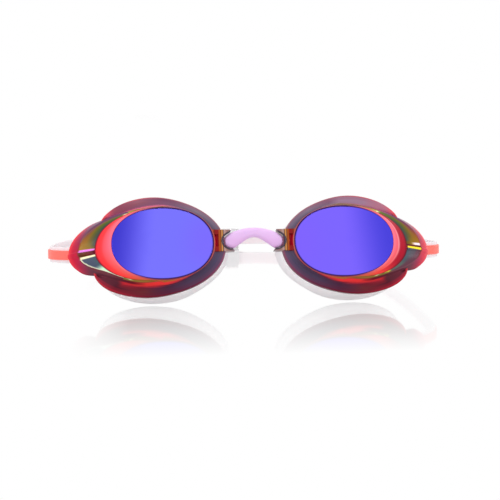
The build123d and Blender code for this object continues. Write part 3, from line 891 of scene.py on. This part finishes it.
def make_bridge(name, material, around=40):
    """A soft arch with rounded ends, bowed forwards in the middle."""
    x = BRIDGE_REACH * np.sin(np.linspace(-math.pi / 2, math.pi / 2, 121))
    off = np.abs(x)
    top = np.interp(off, *np.array(curve_through(BRIDGE_TOP, 12)).T)
    foot = np.interp(off, *np.array(curve_through(BRIDGE_FOOT, 12)).T)
    middle, half = (top + foot) / 2, np.maximum((top - foot) / 2, 0.02)
    past = np.clip((off - BRIDGE_ROUND_FROM) / (BRIDGE_REACH - BRIDGE_ROUND_FROM + 0.02), 0, 1)
    deep = BRIDGE_HALF_DEPTH * np.maximum(np.sqrt(1 - past ** 2), 0.05)
    depth = PIVOT_DEPTH - BRIDGE_BOW * (1 - (off / BRIDGE_ROUND_FROM) ** 2)
    a = np.arange(around) * TURN / around
    high, forwards = squared(np.sin(a)), squared(np.cos(a))
    rows = [nose_point(x[i], middle[i] + half[i] * high, depth[i] - deep[i] * forwards)
            for i in range(len(x))]
    made = mesh_object(name, rows, tube_faces(len(rows), around))
    # painted light: lighter towards the top
    share = smooth(-2, 5, (np.reshape(rows, (-1, 3)) - window) @ upward)[:, None]
    set_paint(made, np.array(BRIDGE_LOW) * (1 - share) + np.array(BRIDGE_HIGH) * share)
    return finished(made, material)


# ---- head strap
REAR_Y = {1: 163.35, -1: 165.85}  # the two bands run one behind the other in the clip
WIDEST_X, STRAIGHT_X, TAIL_X = 86.4, 18.0, 13.0
STRAP_WIDTH, STRAP_THICKNESS, STRAP_CORNER = 6.8, 1.1, 0.35
STRIPE_WIDTH, STRIPE_THICKNESS, STRIPE_CORNER = 4.0, 0.9, 0.3
STRIPE_OUT, STRIPE_START = 0.9, 4.5  # from the band's middle, and from the post
STRAP_PAINT, STRIPE_PAINT = (240, 229, 233), (255, 108, 96)
EYELET_TOP = [(2.2, 3.1), (2.12, 3.3), (1.9, 3.4), (1.3, 3.4), (1.05, 3.35), (0.92, 3.1)]
EYELET = [(r, -z) for r, z in EYELET_TOP[::-1]] + EYELET_TOP


def bezier(controls, count):
    """Points of a Bezier curve, without its last one."""
    controls = np.array(controls, float)
    degree = len(controls) - 1
    s = np.arange(count)[:, None] / count
    return sum(math.comb(degree, i) * s ** i * (1 - s) ** (degree - i) * point
               for i, point in enumerate(controls))


def strap_line(rear_y):
    """The middle of a band in the strap's plane, from its post to its end past the middle."""
    side = (WIDEST_X, 20)
    front = bezier([(post[0] + 1.2, 0.7), (post[0] + 7.6, 4.4), (WIDEST_X, 7.5), side], 44)
    round_back = bezier([side, (WIDEST_X, 60), (WIDEST_X, 110), (62, rear_y), (STRAIGHT_X, rear_y)], 150)
    tail = np.array([(x, rear_y) for x in np.linspace(STRAIGHT_X, -TAIL_X, 26)])
    return np.vstack([front, round_back, tail])


def sweep(name, line, shift, width, thickness, corner, side, material, colour):
    """A band with a rounded rectangular section along a line in the strap's plane."""
    along = np.gradient(line, axis=0)
    along /= np.linalg.norm(along, axis=1, keepdims=True)
    out = np.c_[along[:, 1], -along[:, 0]]
    section = []
    for cx, cz, start in ((1, 1, 0), (-1, 1, 90), (-1, -1, 180), (1, -1, 270)):
        for a in np.radians(start + np.linspace(0, 90, 5)):
            section.append((cx * (thickness / 2 - corner) + corner * math.cos(a),
                            cz * (width / 2 - corner) + corner * math.sin(a)))
    section = np.array(section)
    count, around = len(line), len(section)
    rows = []
    for i in range(count):
        at_end = i in (0, count - 1)
        thinner, narrower = (0.88, 0.96) if at_end else (1, 1)
        at = line[i] + (shift + section[:, :1] * thinner) * out[i]
        rows.append(strap_point(at[:, 0], at[:, 1], section[:, 1] * narrower))
    made = mesh_object(name, rows, tube_faces(count, around), side)
    return finished(made, material, colour, sharp_from=60)


def make_eyelet(side, name, material, around=40):
    """The ring at the band's end that turns on the post."""
    a = np.arange(around) * TURN / around
    rows = [strap_point(post[0] + r * np.cos(a), r * np.sin(a), z) for r, z in EYELET]
    made = mesh_object(name, rows, grid_faces(len(rows), around), side)
    return finished(made, material, STRAP_PAINT)


# ---- rear clip
CLIP_COLOUR = (240, 238, 240)


def clip_look(material):
    """The clip keeps its shape and gets softened edges and its own material."""
    clip = frame["nodes"]["rear_clip"]
    clip.data.materials.clear()
    clip.data.materials.append(material)
    edge = clip.modifiers.new("edge", "BEVEL")
    edge.width = 0.0002
    edge.segments = 2
    edge.limit_method = "ANGLE"
    edge.angle_limit = math.radians(40)


# ---- floor, light
FLOOR_CORNERS = [(-4, -4, 0), (4, -4, 0), (4, 6, 0), (-4, 6, 0)]
FLOOR_DROP = 0.00005  # the floor is this far under the goggles
FLOOR_SHINE = 0.62
SHINE_FROM_TO_Y = (-0.174, -0.082)  # the floor's reflection fades in from the front to the goggles
FADE_FROM_TO_X = (0.052, 0.073)  # and out to both sides
# the lights: name, place, what they point at, size and power
LIGHTS = [
    ("top", (0.0, -0.12, 0.8), (0, -0.08, 0), (0.5, 0.1), 1.6),
    ("left", (-0.75, -0.5, 0.3), (0, -0.08, 0.02), (0.08, 0.5), 1.4),
    ("right", (0.75, -0.45, 0.3), (0, -0.08, 0.02), (0.08, 0.5), 1.4),
]


def floor_material():
    """White with a soft reflection near the goggles."""
    material = bpy.data.materials.new("white_gloss_floor")
    material.use_nodes = True
    nodes = material.node_tree.nodes
    nodes.remove(nodes["Principled BSDF"])
    white = nodes.new("ShaderNodeEmission")
    gloss = nodes.new("ShaderNodeBsdfGlossy")
    gloss.inputs["Color"].default_value = (1, 1, 1, 1)
    gloss.inputs["Roughness"].default_value = 0.05
    mix = nodes.new("ShaderNodeMixShader")
    coordinates = nodes.new("ShaderNodeTexCoord")
    split = nodes.new("ShaderNodeSeparateXYZ")
    fade = map_range(nodes, SHINE_FROM_TO_Y, (0, FLOOR_SHINE))
    near = map_range(nodes, FADE_FROM_TO_X, (1, 0))
    sideways, share = math_node(nodes, "ABSOLUTE"), math_node(nodes, "MULTIPLY")
    connect(material, (coordinates, "Object", split, "Vector"), (split, "Y", fade, "Value"),
            (split, "X", sideways, 0), (sideways, "Value", near, "Value"), (fade, "Result", share, 0),
            (near, "Result", share, 1), (share, "Value", mix, "Fac"), (white, "Emission", mix, 1),
            (gloss, "BSDF", mix, 2), (mix, "Shader", nodes["Material Output"], "Surface"))
    return material


def make_floor():
    mesh = bpy.data.meshes.new("floor")
    mesh.from_pydata(FLOOR_CORNERS, [], [(0, 1, 2, 3)])
    floor = bpy.data.objects.new("floor", mesh)
    scene.collection.objects.link(floor)
    floor.location.z = -FLOOR_DROP
    floor.data.materials.append(floor_material())


def area_light(name, place, target, size, power):
    light = bpy.data.lights.new(name, "AREA")
    light.shape = "RECTANGLE"
    light.size, light.size_y = size
    light.energy = power
    made = bpy.data.objects.new(name, light)
    scene.collection.objects.link(made)
    made.location = place
    made.rotation_euler = (Vector(target) - Vector(place)).to_track_quat("-Z", "Y").to_euler()


def make_light():
    """White all round, with three weak lights for the gloss."""
    world = bpy.data.worlds.new("studio")
    scene.world = world
    world.use_nodes = True
    world.node_tree.nodes["Background"].inputs["Color"].default_value = (1, 1, 1, 1)
    for name, place, target, size, power in LIGHTS:
        area_light(name, place, target, size, power)
    scene.view_settings.view_transform = "Standard"


# ---- all the pieces
def attach(piece, body, node=None):
    """Gives a piece its body, and lets it stand for a CAD node, which it hides."""
    if node:
        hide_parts(node)
    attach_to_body(piece, body)


def build():
    make_camera()
    make_light()
    make_floor()
    frame_look, lens_look, tab_look = frame_material(), lens_material(), tab_material()
    dark_look = new_material("dark_edge", 0.2, coat=0.4)
    back_look = plain_colour(new_material("coral_ears", 0.2, coat=0.5), EAR_COLOUR)
    seal_look = silicone_material("clear_silicone", 0.3)
    bridge_look = silicone_material("lavender_rubber", 0.0, 0.42)
    band_look = silicone_material("pale_silicone", 0.15, 0.4)
    stripe_look = silicone_material("coral_silicone", 0.0, 0.45)
    clip_material = plain_colour(silicone_material("clear_clip", 0.5, 0.15), CLIP_COLOUR)

    for label, side in SIDES.items():
        cup, band = f"{label}_cup", f"{label}_band"
        ring = make_frame_ring(side, f"{label}_cup_frame", frame_look)
        attach(ring, cup, f"{label}_eye_frame")
        for part in (make_tab(side, f"{label}_nose_tab", tab_look),
                     make_socket_lip(side, f"{label}_socket_lip", dark_look),
                     *make_ears(side, f"{label}_strap_ear", back_look),
                     make_post(side, f"{label}_strap_post", back_look)):
            attach(part, cup)
        attach(make_lens(side, f"{label}_mirror_lens", lens_look), cup, f"{label}_lens")
        attach(make_seal(side, f"{label}_face_seal", seal_look), cup, f"{label}_seal")
        line = strap_line(REAR_Y[side])
        strap = sweep(f"{label}_strap_band", line, 0, STRAP_WIDTH, STRAP_THICKNESS, STRAP_CORNER,
                      side, band_look, STRAP_PAINT)
        attach(strap, band, f"{label}_strap")
        attach(make_eyelet(side, f"{label}_strap_eyelet", band_look), band)
        past_post = np.hypot(line[:, 0] - post[0], line[:, 1]) > STRIPE_START
        stripe = sweep(f"{label}_strap_stripe", line[past_post], STRIPE_OUT, STRIPE_WIDTH, STRIPE_THICKNESS,
                       STRIPE_CORNER, side, stripe_look, STRIPE_PAINT)
        attach(stripe, band, f"{label}_stripe")
    attach(make_bridge("nose_bridge_arch", bridge_look), "bridge", "nose_bridge")
    clip_look(clip_material)


build()
